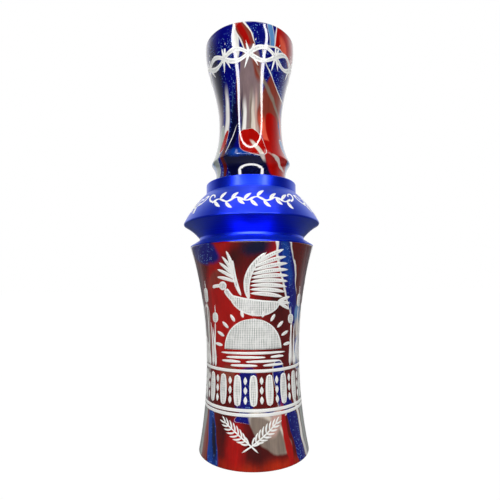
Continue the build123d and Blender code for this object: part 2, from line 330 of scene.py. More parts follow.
def makeResin(name, base, patches, seams, settings):
    # each patch: colour, arc, height, half arc, half height, lean, vein width, softness
    made, tree, shader, place = newMaterial(
        name, Coat_Weight=1.0, Coat_Roughness=polish["skinRough"], Coat_IOR=polish["skinIor"],
        IOR=polish["skinIor"], Specular_IOR_Level=polish["bodyShine"],
    )
    flow = useGroup(tree, resinFlow, Place=place, Wander=settings["wander"], Middle=settings["middle"])
    colour = resin[base]
    for tone, arc, height, halfArc, halfHeight, lean, vein, soft in patches:
        colour = layPatch(tree, flow, colour, tone, "Arc", lean, soft, arc, height, halfArc, halfHeight,
                          settings["veinShare"] * vein)
    # streaks that cross the sides, where front and back meet
    for tone, arc, halfArc, lean in seams:
        colour = layPatch(tree, flow, colour, tone, "Round", lean, seamLook["soft"], arc, settings["middle"],
                          halfArc, seamLook["halfHeight"], seamLook["vein"])
    streaks = useGroup(tree, castStreaks, Place=place, Depth=settings["streakDepth"])
    colour = mixColour(tree, 1.0, colour, streaks["Shade"], "MULTIPLY")
    # pearl shows in the blues only
    parts = addNode(tree, "SeparateColor", {0: colour}).outputs
    blueness = ramp(tree, calc(tree, "SUBTRACT", parts[2], calc(tree, "MULTIPLY", parts[0], 1.6)), 0.02, 0.1)
    cloud = ramp(tree, noise(tree, stretched(tree, place, (1, 1, 0.5)), 0.22, 2.0).outputs[0], 0.38, 0.62)
    scale, share = settings["flakeScale"], settings["flakeShare"]
    flakes = useGroup(tree, pearlFlakes, Place=place, Scale=scale, Share=share)["Mask"]
    glint = calc(tree, "MULTIPLY", calc(tree, "MULTIPLY", flakes, blueness), cloud)
    glint = calc(tree, "MULTIPLY", glint, settings["flakeStrength"])
    colour = mixColour(tree, glint, colour, resin["pearl"])
    # painted light: the colour is whitened where the surface is seen edge on, standing in for light through
    # the clear skin and reflections at the grazing sides
    paintedEdgeLight = calc(tree, "MULTIPLY", ramp(tree, seenEdgeOn(tree), 0.5, 0.96), settings["paintedEdgeLight"])
    feed(tree, shader.inputs["Base Color"], mixColour(tree, paintedEdgeLight, colour, resin["paintedEdgeLight"]))
    touch = useGroup(tree, handling, Place=place)
    rough = calc(tree, "MULTIPLY_ADD", touch["Smear"], polish["smear"], polish["rough"])
    rough = calc(tree, "MULTIPLY_ADD", touch["Scratch"], polish["scratch"], rough)
    feed(tree, shader.inputs["Roughness"], rough)
    bumped(tree, shader, touch["Scratch"], 0.02, 0.4 * mm)
    return made


stopperResin = makeResin(
    "stopperResin",
    "navy",
    [
        # rim and shoulder of the flare, left to right
        ("smoke", -68, 103, 11, 9, 0.5, 0.0, 0.7),
        ("deepNavy", -60, 112, 14, 9, 0.0, 0.0, 0.5),
        ("white", -18, 120.5, 3.0, 6.0, 0.0, 0.0, 0.2),
        ("brown", -4, 119.6, 8.6, 7.0, -1.7, 1.9, 0.05),
        ("red", -8, 121.5, 4.0, 6.0, -1.6, 0.0, 0.35),
        ("skyBlue", 28, 120, 3.4, 8.0, -0.3, 0.5, 0.25),
        ("red", 58, 121, 25.5, 9.0, 0.3, 1.2, 0.05),
        ("salmon", 50, 118.6, 6.0, 3.4, -2.0, 0.0, 0.4),
        # clear middle
        ("mauve", 1.0, 102.5, 18.5, 15.0, 0.0, 0.0, 0.06),
        ("brown", 9, 112.0, 5.5, 3.6, -1.4, 0.0, 0.4),
        ("deepNavy", -15, 99, 1.5, 6.0, 0.2, 0.0, 0.8),
        ("white", -11, 96.0, 3.6, 6.0, 0.3, 0.0, 0.5),
        ("cream", 6.0, 95.8, 5.0, 7.4, -0.3, 0.0, 0.5),
        ("blush", 12.5, 97.5, 2.2, 7.0, -0.2, 0.0, 0.5),
        ("smoke", 1.0, 97, 2.0, 8.0, 0.2, 0.0, 0.5),
        ("smoke", 17, 100, 1.6, 9.0, 0.0, 0.0, 0.5),
        # right of the middle
        ("brown", 42, 103.0, 24, 9.6, 1.2, 0.0, 0.08),
        ("smoke", 38, 105, 4.0, 6.0, -4.2, 0.0, 0.5),
        ("navy", 56, 111.8, 26, 6.8, -3.6, 1.9, 0.05),
        ("salmon", 27, 91.5, 7.0, 6.4, -1.0, 0.0, 0.4),
        ("red", 46, 92.6, 16.5, 7.0, -0.8, 0.0, 0.06),
        ("salmon", 70, 95, 5.0, 5.6, -1.0, 0.0, 0.3),
        ("skyBlue", 70, 87.5, 10.0, 4.6, -2.0, 0.4, 0.15),
        # left of the middle
        ("deepRed", -23.0, 101, 1.9, 9.6, 0.3, 0.0, 0.25),
        ("skyBlue", -31.5, 99, 1.1, 5.4, 0.3, 0.0, 0.9),
        ("deepNavy", -29, 95, 8.0, 10.0, 0.3, 0.0, 0.5),
        ("white", -44, 98.0, 5.0, 8.4, 0.35, 0.0, 0.4),
        ("white", -33.5, 90.2, 0.8, 4.6, 1.9, 0.0, 0.3),
        ("sage", -62, 88, 10.0, 8.4, 0.5, 0.4, 0.12),
        ("red", -48, 91.0, 6.0, 3.6, 1.4, 0.4, 0.1),
        ("deepRed", -44, 84.6, 3.6, 5.6, 0.2, 0.0, 0.15),
        ("skyBlue", -76, 84.6, 7.0, 4.4, 1.0, 0.0, 0.3),
        # foot, where the colours fold together
        ("red", 38, 84.9, 28, 5.6, -3.0, 0.0, 0.06),
        ("deepNavy", -6, 82.4, 33, 4.6, -2.0, 0.0, 0.08),
        ("blue", -14, 86.2, 18, 1.2, -3.0, 0.0, 0.5),
        ("red", 2.0, 89.6, 19.5, 4.4, -1.5, 0.7, 0.05),
        ("cream", 11.0, 87.0, 4.4, 3.0, -3.0, 0.0, 0.2),
        ("cream", 46, 84.2, 5.0, 1.7, -9.5, 0.0, 0.25),
    ],
    [("deepNavy", -96, 9.0, 0.12), ("sage", 97, 7.0, -0.1)],
    {"wander": 12.0, "middle": 102.0, "streakDepth": 0.5, "flakeScale": 2.6, "flakeShare": 0.3,
     "flakeStrength": 0.95, "paintedEdgeLight": 0.62, "veinShare": 0.75},
)

barrelResin = makeResin(
    "barrelResin",
    "deepRed",
    [
        # under the shoulder
        ("red", -30, 52.5, 15, 8.5, 1.0, 0.0, 0.4),
        ("navy", -53, 58.4, 19.5, 4.6, -2.0, 0.0, 0.15),
        ("brown", -38, 49.4, 9.0, 2.6, 3.0, 0.0, 0.4),
        ("red", 20, 53, 9, 8, 0.0, 0.0, 0.5),
        ("oxblood", -17, 54.6, 9.0, 4.6, 1.4, 0.0, 0.8),
        ("oxblood", 24, 44.0, 8.0, 6.0, -1.0, 0.0, 0.8),
        # painted shadow: a deep navy strip just under the band, standing in for the band's shade on the
        # barrel
        ("deepNavy", 4, 57.6, 11, 2.0, 0.0, 0.0, 0.6),
        ("navy", 41, 48.6, 9.4, 14.0, -1.35, 1.9, 0.05),
        ("blue", 32.5, 54.6, 4.6, 6.6, -1.3, 0.0, 0.4),
        # down the waist
        ("red", -25, 36, 34, 12, 0.0, 0.0, 0.5),
        ("skyBlue", 64, 38.5, 8.0, 3.8, -0.5, 0.0, 0.25),
        ("cream", 64, 34.4, 6.6, 3.6, -0.5, 0.0, 0.3),
        ("blue", 66, 28.4, 9.0, 4.8, -0.4, 0.4, 0.15),
        ("smoke", -68, 31, 9.0, 11, 0.4, 0.5, 0.15),
        ("brown", -33, 22.4, 9.0, 3.4, 1.8, 0.0, 0.25),
        ("navy", -8, 19.4, 12.5, 6.0, 0.5, 0.0, 0.1),
        ("navy", 32, 20.0, 8.5, 7.2, -0.4, 0.4, 0.08),
        # mouth end, left to right
        ("orange", 10, 0.4, 40, 1.8, 0.0, 0.0, 0.8),
        ("oxblood", -30, 11.0, 10, 4.4, 0.8, 0.0, 0.8),
        ("oxblood", 2, 4.6, 12, 3.4, -0.6, 0.0, 0.9),
        ("red", -20, 6, 9, 6, 0.0, 0.0, 0.6),
        ("navy", 4, 13.0, 22, 1.9, 5.0, 0.3, 0.1),
        ("sage", -74, 8.0, 9.0, 9.0, 0.0, 0.5, 0.15),
        ("brown", -61, 4.6, 7.0, 8.0, 0.2, 0.0, 0.2),
        ("blue", -49, 5.4, 8.0, 8.6, -0.7, 0.0, 0.12),
        ("deepNavy", -46, 6.0, 3.4, 5.0, -0.7, 0.0, 0.4),
        ("cream", 17, 9.2, 16.4, 5.2, -2.4, 0.0, 0.12),
        ("smoke", 16, 8.4, 14.6, 4.8, -2.4, 0.0, 0.12),
        ("blush", 24.5, 11.6, 6.0, 3.6, 1.2, 0.0, 0.3),
        ("red", 36, 7.0, 3.4, 9.0, -0.5, 0.0, 0.2),
        ("navy", 51.5, 6.6, 8.0, 10.5, -0.9, 0.0, 0.05),
        ("white", 62.5, 7.0, 2.6, 10.0, -0.9, 0.0, 0.2),
        ("sage", 74, 8.0, 8.0, 12.0, -0.6, 0.0, 0.15),
    ],
    [("deepNavy", -97, 8.0, 0.1), ("smoke", 98, 7.0, -0.12)],
    {"wander": 12.0, "middle": 29.5, "streakDepth": 0.8, "flakeScale": 2.6, "flakeShare": 0.3,
     "flakeStrength": 0.7, "paintedEdgeLight": 0.5, "veinShare": 0.75},
)
print("resin mixed")


# the other finishes
def makeAnodised():
    # the pale tint and its share are painted light on the sides that turn edge on
    look = {"colour": tint(0, 58, 232), "shade": tint(0, 16, 200), "pale": tint(70, 130, 240),
            "paintedSheenShare": 0.36, "ringPitch": 0.16, "rough": 0.27, "roughSwing": 0.12}
    made, tree, shader, place = newMaterial(
        "anodisedAluminium", Metallic=0.85, Coat_Weight=0.2, Coat_Roughness=0.2, Coat_IOR=1.5
    )
    rings = useGroup(tree, turningMarks, Place=place, Pitch=look["ringPitch"])["Ring"]
    touch = useGroup(tree, handling, Place=place)
    grain = noise(tree, place, 9.0, 2.0).outputs[0]
    depth = calc(tree, "MULTIPLY_ADD", rings, 0.7, calc(tree, "MULTIPLY", grain, 0.3))
    colour = mixColour(tree, ramp(tree, depth, 0.3, 0.75), look["shade"], look["colour"])
    # painted light: the blue is paled where the surface turns edge on, standing in for the lighter
    # reflections along the sides
    paintedEdgeSheen = ramp(tree, seenEdgeOn(tree), 0.3, 0.75, 0.0, look["paintedSheenShare"])
    feed(tree, shader.inputs["Base Color"], mixColour(tree, paintedEdgeSheen, colour, look["pale"]))
    rough = calc(tree, "MULTIPLY_ADD", depth, look["roughSwing"], look["rough"])
    feed(tree, shader.inputs["Roughness"], calc(tree, "MULTIPLY_ADD", touch["Smear"], 0.05, rough))
    bumped(tree, shader, depth, 0.12, 0.06 * mm)
    return made


def makePaint():
    # the rim is a width in millimetres; the hatch lines' pitch is in degrees, and their rise in millimetres
    look = {"edge": tint(255, 255, 252), "hatch": tint(168, 172, 168), "rim": 0.34, "pitch": 1.9,
            "rise": 0.62}
    made, tree, shader, place = newMaterial(
        "engravingPaint", Roughness=0.5, Coat_Weight=0.25, Coat_Roughness=0.15
    )
    inset = addNode(tree, "Attribute", attribute_name="inset").outputs["Fac"]
    arc, height = useGroup(tree, roundPlace, Place=place)[:]
    # the laser's passes: fine upright lines, crossed by fainter level ones
    wander = noise(tree, stretched(tree, place, (1, 1, 0.3)), 0.9, 2.0).outputs[0]
    phase = calc(tree, "MULTIPLY", arc, 2 * np.pi / look["pitch"])
    upright = calc(tree, "SINE", calc(tree, "MULTIPLY_ADD", wander, 5.0, phase))
    level = calc(tree, "SINE", calc(tree, "MULTIPLY", height, 2 * np.pi / look["rise"]))
    faint = calc(tree, "MULTIPLY", ramp(tree, level, 0.0, 0.9), 0.3)
    lines = calc(tree, "ADD", ramp(tree, upright, -0.3, 0.9), faint)
    patchy = ramp(tree, noise(tree, place, 0.5, 3.0).outputs[0], 0.3, 0.65, 0.45, 1.0)
    inside = ramp(tree, inset, look["rim"], look["rim"] * 1.5)
    cut = calc(tree, "MULTIPLY", calc(tree, "MULTIPLY", lines, patchy), inside, clamp=True)
    grime = ramp(tree, noise(tree, place, 1.6, 4.0, 0.7).outputs[0], 0.55, 0.8, 0.0, 0.35)
    colour = mixColour(tree, cut, look["edge"], look["hatch"])
    dirty = calc(tree, "MULTIPLY", grime, inside)
    feed(tree, shader.inputs["Base Color"], mixColour(tree, dirty, colour, look["hatch"]))
    bumped(tree, shader, calc(tree, "SUBTRACT", 1.0, cut), 0.35, 0.08 * mm)
    return made


def makeBoard():
    look = {"colour": tint(206, 212, 206), "deep": tint(150, 166, 160), "linesPerMm": 5.5}  # milling marks
    made, tree, shader, place = newMaterial(
        "acrylicBoard", IOR=1.49, Transmission_Weight=0.45, Coat_Weight=0.3, Coat_Roughness=0.08
    )
    level = calc(tree, "MULTIPLY", addNode(tree, "SeparateXYZ", {0: place}).outputs[2], look["linesPerMm"])
    cutter = addNode(tree, "TexNoise", {"W": level, "Detail": 2.0}, noise_dimensions="1D").outputs[0]
    cloud = ramp(tree, noise(tree, place, 0.25, 3.0).outputs[0], 0.3, 0.7)
    feed(tree, shader.inputs["Base Color"], mixColour(tree, cloud, look["deep"], look["colour"]))
    feed(tree, shader.inputs["Roughness"], calc(tree, "MULTIPLY_ADD", cutter, 0.22, 0.1))
    bumped(tree, shader, cutter, 0.12, 0.08 * mm)
    return made


def makeFilm():
    look = {"colour": tint(222, 226, 222), "scuff": tint(188, 194, 192)}
    made, tree, shader, place = newMaterial(
        "reedFilm", IOR=1.6, Transmission_Weight=0.55, Coat_Weight=0.4, Coat_Roughness=0.12
    )
    touch = useGroup(tree, handling, Place=place)
    lines = noise(tree, stretched(tree, place, (5, 1, 0.12)), 1.2, 2.0).outputs[0]
    feed(tree, shader.inputs["Base Color"], mixColour(tree, touch["Scratch"], look["colour"], look["scuff"]))
    feed(tree, shader.inputs["Roughness"], calc(tree, "MULTIPLY_ADD", lines, 0.25, 0.12))
    bumped(tree, shader, lines, 0.06, 0.04 * mm)
    return made


def makeCork():
    look = {"light": tint(206, 160, 108), "mid": tint(178, 128, 80), "dark": tint(78, 46, 26), "grain": 1.5}
    made, tree, shader, place = newMaterial("cork", Roughness=0.85, IOR=1.4)
    cells = {"Vector": place, "Scale": look["grain"]}
    lot = addNode(tree, "SeparateColor", {0: addNode(tree, "TexVoronoi", cells).outputs["Color"]}).outputs[0]
    edges = addNode(tree, "TexVoronoi", cells, feature="DISTANCE_TO_EDGE").outputs[0]
    colour = mixColour(tree, lot, look["mid"], look["light"])
    pits = calc(tree, "MULTIPLY", ramp(tree, noise(tree, place, 1.1, 3.0).outputs[0], 0.58, 0.68), 0.9)
    colour = mixColour(tree, pits, colour, look["dark"])
    colour = mixColour(tree, ramp(tree, edges, 0.0, 0.07, 0.55, 0.0), colour, look["dark"])
    feed(tree, shader.inputs["Base Color"], colour)
    relief = calc(tree, "SUBTRACT", ramp(tree, edges, 0.0, 0.12), pits)
    bumped(tree, shader, relief, 0.6, 0.12 * mm)
    return made


def makeRubber():
    look = {"colour": tint(22, 22, 24), "dust": tint(70, 68, 64)}
    made, tree, shader, place = newMaterial("oringRubber", IOR=1.5, Coat_Weight=0.15, Coat_Roughness=0.3)
    touch = useGroup(tree, handling, Place=place)
    fine = noise(tree, place, 14.0, 3.0).outputs[0]
    dust = calc(tree, "MULTIPLY", touch["Smear"], 0.5)
    feed(tree, shader.inputs["Base Color"], mixColour(tree, dust, look["colour"], look["dust"]))
    feed(tree, shader.inputs["Roughness"], calc(tree, "MULTIPLY_ADD", fine, 0.2, 0.4))
    bumped(tree, shader, fine, 0.15, 0.03 * mm)
    return made


paint = makePaint()
film = makeFilm()
rubber = makeRubber()
cover(nodes["barrel"], barrelResin)
cover(nodes["stopper"], stopperResin)
cover(nodes["band"], makeAnodised())
cover(nodes["tone_board"], makeBoard())
cover(nodes["wedge"], makeCork())
for name in ("upper_oring", "lower_oring", "tone_board_oring"):
    cover(nodes[name], rubber)
print("finishes made")


# inlaid engraving: flat strokes that follow the turned surface
def outlineOf(node, lowZ, highZ, leastRadius, step=0.3):
    # the outer radius at each height: the widest point of the node's mesh in each slice one step thick
    mesh = nodes[node].data
    flat = np.empty(len(mesh.vertices) * 3)
    mesh.vertices.foreach_get("co", flat)
    points = flat.reshape(-1, 3) / mm
    radius = np.hypot(points[:, 0], points[:, 1])
    keep = (points[:, 2] >= lowZ) & (points[:, 2] <= highZ) & (radius > leastRadius)
    radius, height = radius[keep], points[keep, 2]
    slices = np.floor(height / step).astype(int)
    order = np.lexsort((radius, slices))
    last = np.append(np.diff(slices[order]) > 0, True)
    return height[order][last], radius[order][last]


def bezier(points, count):
    # a Bezier curve from the first point to the last: each point weighed by its Bernstein share
    points = np.array(points, float)
    share = np.linspace(0, 1, count)[:, None]
    last = len(points) - 1
    return sum(comb(last, k) * share**k * (1 - share) ** (last - k) * points[k] for k in range(last + 1))


# millimetres, the power that squares the edge, and the columns across a stroke by its greatest half width
inlayLook = {"lift": 0.045, "depth": 0.08, "edge": 8, "leastHalf": 0.015}
columnSteps = ((2.6, 27), (0.8, 11), (0.0, 7))


def stroke(points, half, shape="bar", count=16, power=0.7):
    # a path of (distance round, height) with its half width at each sample: a leaf swells as a sine, a
    # blade tapers to its tip, a bar keeps its width and has round ends
    path = bezier(points, count)
    share = np.linspace(0, 1, len(path))
    if shape == "leaf":
        width = half * np.sin(np.pi * share) ** power
    elif shape == "blade":
        width = half * (1 - share) ** power * np.minimum(1, 0.45 + 6 * share)
    else:
        length = np.hypot(*np.diff(path, axis=0).T).sum()
        fromEnd = np.minimum(share, 1 - share) * length
        width = np.sqrt(np.maximum(half**2 - np.maximum(half - fromEnd, 0) ** 2, 0))
    return path, np.maximum(width, inlayLook["leastHalf"]), 0.0


def moved(strokes, by, scale=1.0, turn=0.0, flip=1.0):
    # strokes turned, scaled, flipped and moved in the flat
    angle = np.radians(turn)
    spin = np.array([[np.cos(angle), np.sin(angle)], [-np.sin(angle), np.cos(angle)]])
    size = np.array([flip * scale, scale])
    return [((path * size) @ spin + np.array(by), width * scale, arc) for path, width, arc in strokes]


def turned(strokes, by):
    # strokes carried round the axis by an angle in degrees
    return [(path, width, arc + by) for path, width, arc in strokes]


def inlay(name, strokes, outline, body, centreArc=0.0):
    # a flat bar carried along each path; a point lies at angle (distance round / radius), at the
    # outline's radius, raised along the surface's own normal by lift x (1 - across^edge)
    heights, radii = outline
    slopes = np.gradient(radii, heights)
    places, faces, insets, start = [], [], [], 0
    for path, width, arc in strokes:
        half = next(columns for limit, columns in columnSteps if width.max() > limit)
        line = np.sin(np.linspace(-np.pi / 2, np.pi / 2, half))
        across = np.concatenate([line, line[::-1]])
        top = inlayLook["lift"] * (1 - line ** inlayLook["edge"])
        rise = np.concatenate([top, np.full(half, -inlayLook["depth"])])
        along = np.gradient(path, axis=0)
        along /= np.linalg.norm(along, axis=1)[:, None] + 1e-9
        side = np.stack([-along[:, 1], along[:, 0]], axis=1)
        spot = path[:, None, :] + (width[:, None] * across)[:, :, None] * side[:, None, :]
        level = np.clip(spot[..., 1], heights[0], heights[-1])
        radius = np.interp(level, heights, radii)
        slope = np.interp(level, heights, slopes)
        steep = np.sqrt(1 + slope**2)
        angle = np.radians(centreArc + arc) + spot[..., 0] / radius
        reach = radius + rise / steep
        up = level - rise * slope / steep
        places.append(np.stack([reach * np.sin(angle), -reach * np.cos(angle), up], axis=-1).reshape(-1, 3))
        insets.append((width[:, None] * (1 - np.abs(across))).ravel())
        count, ring = len(path), 2 * half
        i, j = np.meshgrid(np.arange(count - 1), np.arange(ring), indexing="ij")
        k = (j + 1) % ring
        walls = np.stack([i * ring + j, (i + 1) * ring + j, (i + 1) * ring + k, i * ring + k], axis=-1)
        c = np.arange(half - 1)
        cap = np.stack([c, c + 1, ring - 2 - c, ring - 1 - c], axis=-1)
        faces.append(start + np.concatenate([walls.reshape(-1, 4), cap, (count - 1) * ring + cap[:, ::-1]]))
        start += count * ring
    piece = meshPiece(name, np.concatenate(places) * mm, np.concatenate(faces))
    piece.data.attributes.new("inset", "FLOAT", "POINT").data.foreach_set("value", np.concatenate(insets))
    piece.data.materials.append(paint)
    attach(piece, body)
    print("engraved", name, len(strokes), "strokes", 2 * len(piece.data.polygons), "triangles")


def meshPiece(name, places, faces, smooth=True):
    # a mesh of four-sided faces from whole arrays
    mesh = bpy.data.meshes.new(name)
    mesh.vertices.add(len(places))
    mesh.vertices.foreach_set("co", places.ravel())
    mesh.loops.add(faces.size)
    mesh.loops.foreach_set("vertex_index", faces.ravel())
    mesh.polygons.add(len(faces))
    mesh.polygons.foreach_set("loop_start", np.arange(len(faces)) * 4)
    mesh.polygons.foreach_set("use_smooth", np.full(len(faces), smooth))
    mesh.update(calc_edges=True)
    mesh.validate()
    piece = bpy.data.objects.new(name, mesh)
    bpy.context.scene.collection.objects.link(piece)
    return piece


barrelOutline = outlineOf("barrel", 0.3, 59.1, 13.0)
crownOutline = outlineOf("band", 66.9, 75.8, 13.9)
flareOutline = outlineOf("stopper", 104.0, 124.4, 9.5)
print("outlines read:", len(barrelOutline[0]), len(crownOutline[0]), len(flareOutline[0]))


def fan(roots, tips, count, half, swell=0.5):
    # feathers from points on one curve to points on another, bowed aside by swell x length / 8
    lines = []
    for root, tip in zip(bezier(roots, count), bezier(tips, count)):
        middle = (root + tip) / 2 + swell * np.array([-(tip - root)[1], (tip - root)[0]]) / 8
        lines.append(stroke([root, middle, tip], half, "leaf", 14, 0.5))
    return lines


def duck():
    # a duck rising to the left, wings up: body, neck, head, bill, two wing edges, then feathers and tail
    body = [
        stroke([(7.6, -2.4), (3.6, -5.0), (-3.4, -4.4), (-7.4, -0.2)], 2.35, "leaf", 30, 0.62),
        stroke([(-5.4, -1.9), (-7.6, -0.6), (-8.8, 1.6)], 0.86, "bar", 14),
        stroke([(-8.3, 2.35), (-11.0, 2.6)], 1.26, "leaf", 20, 0.5),
        stroke([(-10.6, 2.5), (-12.2, 2.5), (-13.6, 2.1)], 0.5, "bar", 12),
        stroke([(-1.6, -1.4), (-3.2, 2.8), (-2.2, 7.4), (3.4, 11.6)], 0.95, "leaf", 24, 0.4),
        stroke([(-3.9, -0.4), (-5.4, 2.6), (-6.4, 6.0), (-6.2, 9.6)], 0.6, "leaf", 18, 0.4),
    ]
    nearWing = fan([(-1.3, 0.2), (-1.8, 4.6), (0.4, 8.6)], [(8.6, -0.9), (12.6, 4.6), (8.8, 12.6)], 9, 0.6)
    farWing = fan([(-5.3, 3.4), (-6.2, 6.6)], [(-11.6, 5.0), (-11.4, 9.6), (-8.2, 12.2)], 5, 0.5, -0.6)
    tail = fan([(6.9, -2.1), (7.2, -2.7)], [(11.4, -0.9), (11.4, -4.6)], 3, 0.5, 0.2)
    return body + nearWing + farWing + tail


def cattail(foot, height, lean, ground):
    # a stem, a seed head and its spike
    top = (foot + lean, ground + height)
    middle = (foot + lean * 0.25, ground + height * 0.5)
    neck = (foot + lean * 0.78, ground + height * 0.8)
    return [
        stroke([(foot, ground), middle, neck], 0.2, "bar", 12),
        stroke([neck, (foot + lean * 0.9, ground + height * 0.9), top], 1.15, "bar", 16),
        stroke([top, (top[0] + lean * 0.08, top[1] + 2.0)], 0.17, "blade", 8),
    ]


def grass(foot, height, lean, ground, half):
    # one blade that leans over towards its tip
    tip = (foot + lean, ground + height)
    return stroke([(foot, ground), (foot + lean * 0.1, ground + height * 0.55), tip], half, "blade", 14, 0.6)


marsh = {
    "ground": 25.7,
    "sunHeight": 30.4,
    "sunRadius": 8.3,
    "rays": 11,
    "rayHalf": 0.46,
    "rippleHalf": 0.36,
    "ripples": ((1.0, -9.6, 9.6), (2.1, -7.8, 3.4), (2.1, 4.8, 9.0), (3.2, -9.2, -3.4), (3.2, -2.0, 7.6),
                (4.25, -6.4, 1.2), (4.25, 2.6, 8.8)),  # below the sun, from left, to right
    "cattails": ((-15.4, 21.5, -0.8), (-12.2, 14.6, 0.5), (-18.6, 16.0, -1.4), (-22.0, 20.0, -1.0),
                 (12.4, 14.0, -0.4), (15.6, 19.6, 1.0), (18.8, 14.6, 1.2),
                 (22.2, 21.0, 0.8)),  # foot, height, lean
    "blades": 32,
    "bladeHalf": 0.56,
    "spread": 24.0,
    "clearing": 10.2,  # no grass nearer the middle than this
    "leastBlade": 4.0,
    "bladeSwing": 9.0,
}


def risingSun():
    # half a disc, a fan of rays beyond it, and its broken reflection on the water below
    radius, low = marsh["sunRadius"], marsh["sunHeight"]
    rise = np.linspace(0, 1, 26) ** 0.8 * radius * 0.998
    disc = (np.stack([0 * rise, low + rise], axis=1), np.sqrt(radius**2 - rise**2), 0.0)
    lines = [disc]
    for angle in np.radians(np.linspace(6, 174, marsh["rays"])):
        way = np.array([np.cos(angle), np.sin(angle)])
        near, far = (radius + 0.7) * way, (radius + 2.3 + 1.3 * abs(way[0])) * way
        lines.append(stroke([near + (0, low), far + (0, low)], marsh["rayHalf"], "leaf", 10, 0.5))
    for down, left, right in marsh["ripples"]:
        crest = ((left + right) / 2, low - down + 0.15)
        ripple = [(left, low - down), crest, (right, low - down)]
        lines.append(stroke(ripple, marsh["rippleHalf"], "leaf", 26, 0.3))
    return lines


def marshScene(seed, duckAt, duckSize):
    # a low sun over water, cattails and grass either side, a duck above
    chance = np.random.default_rng(seed)
    ground = marsh["ground"]
    lines = moved(duck(), duckAt, duckSize) + risingSun()
    for foot, height, lean in marsh["cattails"]:
        lines += cattail(foot, height, lean, ground)
    spread, count = marsh["spread"], marsh["blades"]
    feet = np.linspace(-spread, spread, count) + chance.normal(0, 0.2, count)
    for foot in feet[abs(feet) > marsh["clearing"]]:
        height = marsh["leastBlade"] + chance.uniform(0.0, 1.0) * marsh["bladeSwing"]
        lean = chance.normal(0, 1.0) + 0.06 * foot
        lines.append(grass(foot, height, lean, ground - 0.3, marsh["bladeHalf"]))
    return lines


border = {"low": 14.65, "high": 24.75, "lowest": 13.5, "lineHalf": 0.42, "staves": 20, "staveHalf": 1.12,
          "margin": 1.0, "lozengeHalf": 0.5, "lozengeReach": 1.05, "lozengeStep": 2.5}


def borderRing():
    # three lines round the barrel, with upright staves and lozenges between the upper two
    low, high = border["low"], border["high"]
    lines = []
    for level in (low, high, border["lowest"]):
        u = np.linspace(-1, 1, 180) * np.pi * np.interp(level, *barrelOutline)
        path = np.stack([u, np.full(len(u), level)], axis=1)
        lines.append((path, np.full(len(u), border["lineHalf"]), 0.0))
    ends = [(0, low + border["margin"]), (0, high - border["margin"])]
    stave = [stroke(ends, border["staveHalf"], "leaf", 26, 0.22)]
    gap = []
    for step in (-1, 0, 1):
        centre = (low + high) / 2 + step * border["lozengeStep"]
        ends = [(0, centre - border["lozengeReach"]), (0, centre + border["lozengeReach"])]
        gap.append(stroke(ends, border["lozengeHalf"], "leaf", 10, 0.9))
    for k in range(border["staves"]):
        lines += turned(stave, 360 * k / border["staves"]) + turned(gap, 360 * (k + 0.5) / border["staves"])
    return lines


plume = {"length": 11.8, "bow": 0.5, "shaftHalf": 0.2, "barbs": 8, "barbReach": 1.75, "barbHalf": 0.24,
         "quillUp": 3.2, "crossUp": 6.0, "spread": 54, "centreArc": -4.0}


def feather():
    # a bowed shaft with barbs slanting off both sides, their reach a sine along it
    length, bow = plume["length"], plume["bow"]
    lines = [stroke([(0, -length * 0.5), (bow, 0), (0, length * 0.5)], plume["shaftHalf"], "bar", 16)]
    for share in np.linspace(0, 1, plume["barbs"]):
        root = -length * 0.22 + share * length * 0.68
        reach = plume["barbReach"] * np.sin(np.pi * (0.18 + 0.72 * share)) ** 0.8
        for side in (-1, 1):
            start = (bow * (1 - (2 * root / length) ** 2) * 0.5, root)
            path = [start, (side * reach * 0.6, root + 0.5), (side * reach, root + 1.8)]
            lines.append(stroke(path, plume["barbHalf"], "leaf", 8, 0.5))
    return lines


def crossedFeathers():
    # two feathers crossed low down, leaning apart
    upright = moved(feather(), (0, plume["quillUp"]))
    spread, crossing = plume["spread"], (0, plume["crossUp"])
    return moved(upright, crossing, 1.0, spread) + moved(upright, crossing, 1.0, -spread)


vine = {"level": 70.9, "halfArc": 36.0, "wave": 0.55, "waveRate": 1.15, "stemHalf": 0.26, "leafPitch": 1.75,
        "leafHalf": 0.5, "leafLean": 1.9, "leafRise": 2.2, "curl": 1.5, "curlHalf": 0.32}


def garland():
    # a vine along the crown: a stem that waves as a sine, slanted leaves off both sides, a curl at each end
    level, curlSize = vine["level"], vine["curl"]
    reach = np.radians(vine["halfArc"]) * float(np.interp(level, *crownOutline))
    u = np.linspace(-reach, reach, 90)
    stem = np.stack([u, level + vine["wave"] * np.sin(u * vine["waveRate"])], axis=1)
    lines = [(stem, vine["stemHalf"] + 0.08 * np.cos(u * 2.3), 0.0)]
    for k, at in enumerate(np.arange(-reach + 0.9, reach - 0.4, vine["leafPitch"])):
        side = 1 if k % 2 else -1
        foot = (at, level + vine["wave"] * np.sin(at * vine["waveRate"]))
        tip = (at + vine["leafLean"], foot[1] + side * vine["leafRise"])
        bend = (at + 0.4, foot[1] + side * 1.4)
        lines.append(stroke([foot, bend, tip], vine["leafHalf"], "leaf", 12, 0.6))
    turn = np.linspace(0, 1.6 * np.pi, 26)
    size = curlSize * (1 - 0.62 * turn / turn[-1])
    for end in (-1, 1):
        u = end * (reach + size * np.sin(turn))
        curl = np.stack([u, level + curlSize - size * np.cos(turn)], axis=1)
        lines.append((curl, vine["curlHalf"] * (1 - 0.4 * turn / turn[-1]), 0.0))
    return lines


twist = {"level": 115.7, "swing": 1.7, "lobes": 5, "strandHalf": 0.6, "spurs": 10, "spurHalf": 0.5,
         "spurLines": ((1.5, 4.1), (-0.9, 3.6), (2.1, -3.3), (-1.2, -4.0))}  # lean and height of each spur


